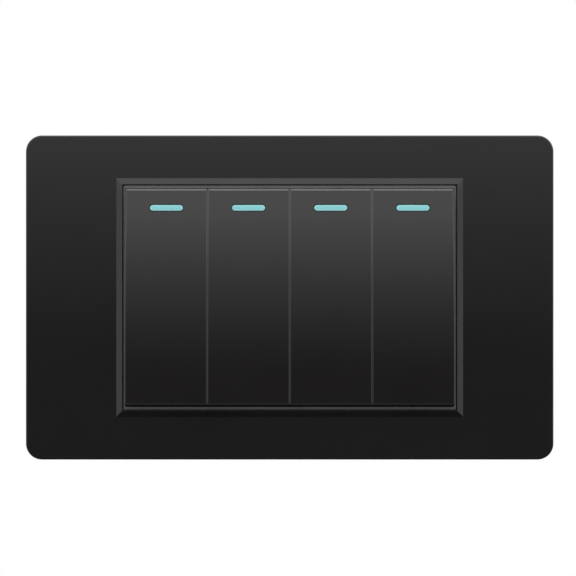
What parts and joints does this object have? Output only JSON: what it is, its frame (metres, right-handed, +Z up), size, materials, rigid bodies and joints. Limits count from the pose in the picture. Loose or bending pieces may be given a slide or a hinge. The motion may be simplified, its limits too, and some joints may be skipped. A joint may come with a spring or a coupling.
{
  "type": "four-gang wall switch",
  "caption": "Wall switch with a black glass panel, a bevelled window frame and a row of tall rocker keys with teal marks, on a steel yoke with a rear housing and screw terminals.",
  "frame": {"origin": "centre of the panel on the wall plane, midway between the two wall box screws", "axes": "+X to the right along the panel, +Y into the wall, +Z up"},
  "size_m": [0.118, 0.0347, 0.0724],
  "materials": {
    "black_glass": "polished",
    "carrier_plastic": "matte",
    "bezel_plastic": "satin",
    "frame_plastic": "satin",
    "key_plastic": "gloss",
    "teal_insert": "satin",
    "zinc_steel": "satin",
    "housing_plastic": "matte",
    "screw_steel": "satin",
    "terminal_steel": "satin",
    "silver_contact": "satin",
    "lever_plastic": "satin",
    "spring_steel": "satin",
    "plunger_plastic": "satin",
    "blade_brass": "satin",
    "terminal_brass": "satin"
  },
  "bodies": {
    "base": {"glass_panel": "black_glass", "panel_carrier": "carrier_plastic", "window_bezel": "bezel_plastic", "module_frame": "frame_plastic", "mounting_yoke": "zinc_steel", "rear_housing": "housing_plastic", "mounting_screws": "screw_steel", "assembly_screws": "screw_steel", "terminal_screws": "terminal_steel", "wire_clamps": "terminal_steel", "fixed_contacts": "silver_contact", "common_terminal_1": "terminal_brass", "load_terminal_1": "terminal_brass", "common_terminal_2": "terminal_brass", "load_terminal_2": "terminal_brass", "common_terminal_3": "terminal_brass", "load_terminal_3": "terminal_brass", "common_terminal_4": "terminal_brass", "load_terminal_4": "terminal_brass"},
    "rocker_1": {"key_1": "key_plastic", "indicator_1": "teal_insert", "lever_1": "lever_plastic", "spring_1": "spring_steel"},
    "pusher_1": {"plunger_1": "plunger_plastic"},
    "contact_1": {"contact_blade_1": "blade_brass", "moving_contact_1": "silver_contact"},
    "rocker_2": {"key_2": "key_plastic", "indicator_2": "teal_insert", "lever_2": "lever_plastic", "spring_2": "spring_steel"},
    "pusher_2": {"plunger_2": "plunger_plastic"},
    "contact_2": {"contact_blade_2": "blade_brass", "moving_contact_2": "silver_contact"},
    "rocker_3": {"key_3": "key_plastic", "indicator_3": "teal_insert", "lever_3": "lever_plastic", "spring_3": "spring_steel"},
    "pusher_3": {"plunger_3": "plunger_plastic"},
    "contact_3": {"contact_blade_3": "blade_brass", "moving_contact_3": "silver_contact"},
    "rocker_4": {"key_4": "key_plastic", "indicator_4": "teal_insert", "lever_4": "lever_plastic", "spring_4": "spring_steel"},
    "pusher_4": {"plunger_4": "plunger_plastic"},
    "contact_4": {"contact_blade_4": "blade_brass", "moving_contact_4": "silver_contact"}
  },
  "joints": [
    {"name": "key_1_rock", "type": "hinge", "parent": "base", "child": "rocker_1", "pos_m": [-0.02745, -0.007, 0], "axis": [1, 0, 0], "range_deg": [0, 6]},
    {"name": "plunger_1_slide", "type": "slide", "parent": "rocker_1", "child": "pusher_1", "axis": [0, -0.9986, 0.0523], "range_m": [0, 0.0012], "stiffness_N_per_m": 300, "springref_m": -0.002, "deforming": ["spring_1"]},
    {"name": "contact_1_tip", "type": "hinge", "parent": "base", "child": "contact_1", "pos_m": [-0.02745, 0.009, 0], "axis": [1, 0, 0], "range_deg": [-14, 0]},
    {"name": "key_2_rock", "type": "hinge", "parent": "base", "child": "rocker_2", "pos_m": [-0.00915, -0.007, 0], "axis": [1, 0, 0], "range_deg": [0, 6]},
    {"name": "plunger_2_slide", "type": "slide", "parent": "rocker_2", "child": "pusher_2", "axis": [0, -0.9986, 0.0523], "range_m": [0, 0.0012], "stiffness_N_per_m": 300, "springref_m": -0.002, "deforming": ["spring_2"]},
    {"name": "contact_2_tip", "type": "hinge", "parent": "base", "child": "contact_2", "pos_m": [-0.00915, 0.009, 0], "axis": [1, 0, 0], "range_deg": [-14, 0]},
    {"name": "key_3_rock", "type": "hinge", "parent": "base", "child": "rocker_3", "pos_m": [0.00915, -0.007, 0], "axis": [1, 0, 0], "range_deg": [0, 6]},
    {"name": "plunger_3_slide", "type": "slide", "parent": "rocker_3", "child": "pusher_3", "axis": [0, -0.9986, 0.0523], "range_m": [0, 0.0012], "stiffness_N_per_m": 300, "springref_m": -0.002, "deforming": ["spring_3"]},
    {"name": "contact_3_tip", "type": "hinge", "parent": "base", "child": "contact_3", "pos_m": [0.00915, 0.009, 0], "axis": [1, 0, 0], "range_deg": [-14, 0]},
    {"name": "key_4_rock", "type": "hinge", "parent": "base", "child": "rocker_4", "pos_m": [0.02745, -0.007, 0], "axis": [1, 0, 0], "range_deg": [0, 6]},
    {"name": "plunger_4_slide", "type": "slide", "parent": "rocker_4", "child": "pusher_4", "axis": [0, -0.9986, 0.0523], "range_m": [0, 0.0012], "stiffness_N_per_m": 300, "springref_m": -0.002, "deforming": ["spring_4"]},
    {"name": "contact_4_tip", "type": "hinge", "parent": "base", "child": "contact_4", "pos_m": [0.02745, 0.009, 0], "axis": [1, 0, 0], "range_deg": [-14, 0]}
  ],
  "couplings": [
    {"joint": "contact_1_tip", "follows": "key_1_rock", "ratio": -2.3333},
    {"joint": "contact_2_tip", "follows": "key_2_rock", "ratio": -2.3333},
    {"joint": "contact_3_tip", "follows": "key_3_rock", "ratio": -2.3333},
    {"joint": "contact_4_tip", "follows": "key_4_rock", "ratio": -2.3333}
  ]
}
